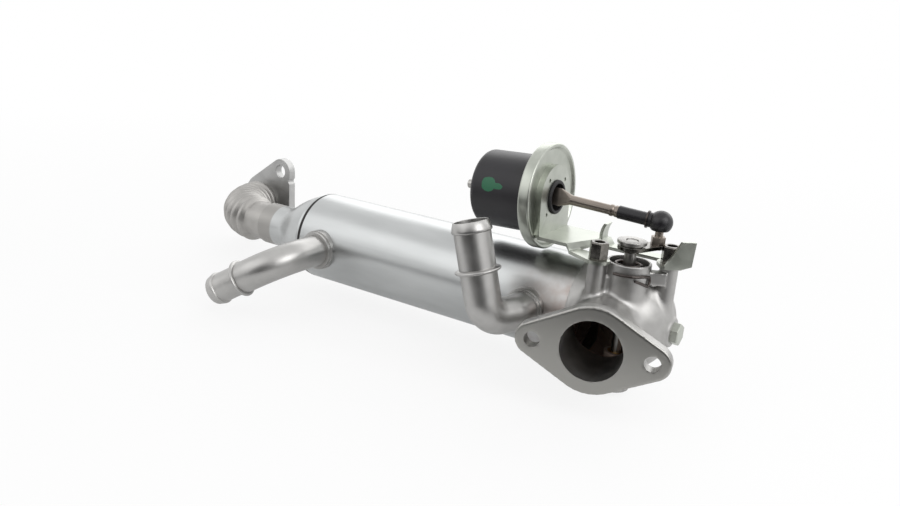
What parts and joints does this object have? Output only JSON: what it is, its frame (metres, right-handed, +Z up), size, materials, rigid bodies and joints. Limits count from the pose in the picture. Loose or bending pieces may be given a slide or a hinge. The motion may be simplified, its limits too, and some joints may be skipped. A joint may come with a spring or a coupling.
{
  "type": "exhaust gas recirculation cooler with by-pass valve",
  "caption": "Tubular exhaust gas cooler with bellows inlet, two hose ends and a by-pass flap valve worked by a vacuum actuator through a pull rod and lever.",
  "frame": {"origin": "centre of the outlet bore at the front face of the outlet flange", "axes": "+Z up, along the flap shaft towards the lever; +X along the shell from the inlet cone to the valve"},
  "size_m": [0.4329, 0.1505, 0.1408],
  "materials": {
    "shell_steel": "satin stainless tube",
    "drawn_steel": "drawn stainless, satin",
    "flange_steel": "blanked plate, matte",
    "inner_steel": "plain steel",
    "braze_dark": "dark brazed joint",
    "cast_alloy": "bead-blasted casting",
    "zinc_steel": "zinc plated",
    "zinc_sheet": "zinc plated sheet, pale green-grey",
    "bright_steel": "turned, bright",
    "rod_steel": "plain rod",
    "spring_steel": "drawn wire",
    "flap_steel": "heat-tinted sheet",
    "bush_metal": "sintered bush",
    "black_paint": "satin black",
    "black_plastic": "moulded, slightly glossy",
    "black_rubber": "soft black rubber"
  },
  "bodies": {
    "cooler": {"shell_tube": "shell_steel", "tube_plate_left": "braze_dark", "tube_plate_right": "inner_steel", "gas_tubes": "inner_steel", "bypass_tube": "inner_steel", "baffles": "inner_steel", "inlet_cone": "drawn_steel", "bellows_pipe": "drawn_steel", "exhaust_flange": "flange_steel", "coolant_pipe_left": "drawn_steel", "coolant_pipe_right": "drawn_steel", "pipe_collar_left": "drawn_steel", "pipe_collar_right": "drawn_steel", "valve_housing": "cast_alloy", "plug_screw": "zinc_steel", "bush_upper": "bush_metal", "bush_lower": "bush_metal", "torsion_spring": "spring_steel", "boss_clip": "spring_steel", "actuator_can": "black_paint", "vacuum_nipple": "bright_steel", "actuator_cover": "zinc_sheet", "diaphragm": "black_rubber", "return_spring": "spring_steel", "rod_boot": "black_rubber", "bracket": "zinc_sheet", "post_studs": "bright_steel", "post_nuts": "zinc_steel"},
    "flap": {"flap_shaft": "bright_steel", "flap_plate": "flap_steel", "lever": "zinc_steel", "lever_washer": "bright_steel", "lever_disc": "bright_steel", "top_disc": "bright_steel", "ball_stud": "zinc_steel"},
    "rod": {"ball_socket": "black_plastic", "socket_clip": "spring_steel", "rod_sleeve": "black_plastic", "rod_ferrule": "zinc_steel", "pull_rod": "rod_steel"},
    "piston": {"piston_cup": "inner_steel"}
  },
  "joints": [
    {"name": "flap_turn", "type": "hinge", "parent": "cooler", "child": "flap", "pos_m": [-0.0025, 0.048, 0], "axis": [0, 0, 1], "range_deg": [0, 50], "stiffness_Nm_per_rad": 0.1, "springref_deg": -20.05},
    {"name": "rod_pivot", "type": "hinge", "parent": "flap", "child": "rod", "pos_m": [0.0075, 0.063, 0.0626], "axis": [0, 0, -1], "range_deg": [0, 50.1]},
    {"name": "piston_slide", "type": "slide", "parent": "cooler", "child": "piston", "axis": [-0.999, 0, -0.0436], "range_m": [0, 0.0152]}
  ],
  "couplings": [
    {"joint": "rod_pivot", "follows": "flap_turn", "ratio": 1},
    {"joint": "piston_slide", "follows": "flap_turn", "m_per_rad": 0.01727}
  ]
}
